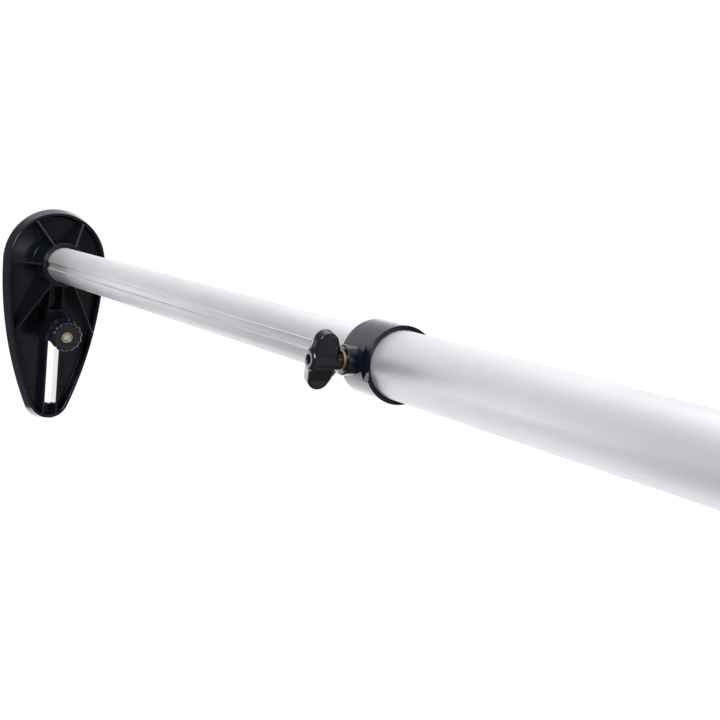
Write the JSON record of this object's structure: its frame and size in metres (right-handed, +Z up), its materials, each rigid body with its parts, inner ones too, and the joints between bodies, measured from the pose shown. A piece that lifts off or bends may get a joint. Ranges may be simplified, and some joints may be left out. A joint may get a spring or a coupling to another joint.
{
  "type": "door frame spreader",
  "caption": "Telescopic strut with tray-shaped end plates that holds the sides of a door frame apart, with a clamped extension and sliding depth stops.",
  "frame": {"origin": "on the tubes' axis, in the contact face of the far pad", "axes": "+X along the tubes from the far pad to the near pad, +Z up, so the tapered ends of the plates hang towards -Z; the clamp knob faces -Y"},
  "size_m": [1.194, 0.0858, 0.1732],
  "materials": {
    "black_plastic": "moulded black, fine satin grain",
    "knob_plastic": "moulded black, semi-gloss",
    "pad_rubber": "matt soft facing",
    "tube_aluminium": "natural anodised, fine drawn grain",
    "zinc_steel": "bright zinc plate",
    "brass": "turned brass"
  },
  "bodies": {
    "far_end": {"far_plate": "black_plastic", "far_pad": "pad_rubber", "far_plug": "black_plastic", "far_plate_screw": "zinc_steel", "inner_tube": "tube_aluminium", "glide_bush": "black_plastic", "glide_pin": "zinc_steel"},
    "near_end": {"outer_tube": "tube_aluminium", "collar": "black_plastic", "boss_insert": "brass", "near_plate": "black_plastic", "near_pad": "pad_rubber", "near_plug": "black_plastic", "near_plate_screw": "zinc_steel"},
    "clamp_foot": {"clamp_shoe": "brass"},
    "clamp_knob": {"clamp_screw": "zinc_steel", "wing_knob": "knob_plastic"},
    "far_stop": {"far_edge_stop": "black_plastic", "far_stop_bolt": "zinc_steel", "far_slider_block": "black_plastic"},
    "far_washer": {"far_washer": "black_plastic"},
    "far_knob": {"far_knob": "knob_plastic", "far_knob_insert": "brass"},
    "near_stop": {"near_edge_stop": "black_plastic", "near_stop_bolt": "zinc_steel", "near_slider_block": "black_plastic"},
    "near_washer": {"near_washer": "black_plastic"},
    "near_knob": {"near_knob": "knob_plastic", "near_knob_insert": "brass"}
  },
  "joints": [
    {"name": "tube_slide", "type": "slide", "parent": "far_end", "child": "near_end", "axis": [1, 0, 0], "range_m": [-0.505, 0.015]},
    {"name": "clamp_foot_slide", "type": "slide", "parent": "near_end", "child": "clamp_foot", "axis": [0, -1, 0], "range_m": [0, 0.0031]},
    {"name": "clamp_knob_turn", "type": "hinge", "parent": "clamp_foot", "child": "clamp_knob", "pos_m": [0.5633, 0, 0], "axis": [0, -1, 0], "range_deg": [0, 1080]},
    {"name": "far_stop_slide", "type": "slide", "parent": "far_end", "child": "far_stop", "axis": [0, 0, 1], "range_m": [-0.054, 0]},
    {"name": "far_washer_slide", "type": "slide", "parent": "far_stop", "child": "far_washer", "axis": [0.9744, 0, -0.225], "range_m": [0, 0.0021]},
    {"name": "far_knob_turn", "type": "hinge", "parent": "far_washer", "child": "far_knob", "pos_m": [0.023, 0, -0.0498], "axis": [0.9744, 0, -0.225], "range_deg": [0, 720]},
    {"name": "near_stop_slide", "type": "slide", "parent": "near_end", "child": "near_stop", "axis": [0, 0, 1], "range_m": [-0.054, 0]},
    {"name": "near_washer_slide", "type": "slide", "parent": "near_stop", "child": "near_washer", "axis": [-0.9744, 0, -0.225], "range_m": [0, 0.0021]},
    {"name": "near_knob_turn", "type": "hinge", "parent": "near_washer", "child": "near_knob", "pos_m": [1.157, 0, -0.0498], "axis": [-0.9744, 0, -0.225], "range_deg": [0, 720]}
  ],
  "couplings": [
    {"joint": "clamp_foot_slide", "follows": "clamp_knob_turn", "m_per_rad": 0.00015915},
    {"joint": "far_washer_slide", "follows": "far_knob_turn", "m_per_rad": 0.00015915},
    {"joint": "near_washer_slide", "follows": "near_knob_turn", "m_per_rad": 0.00015915}
  ]
}
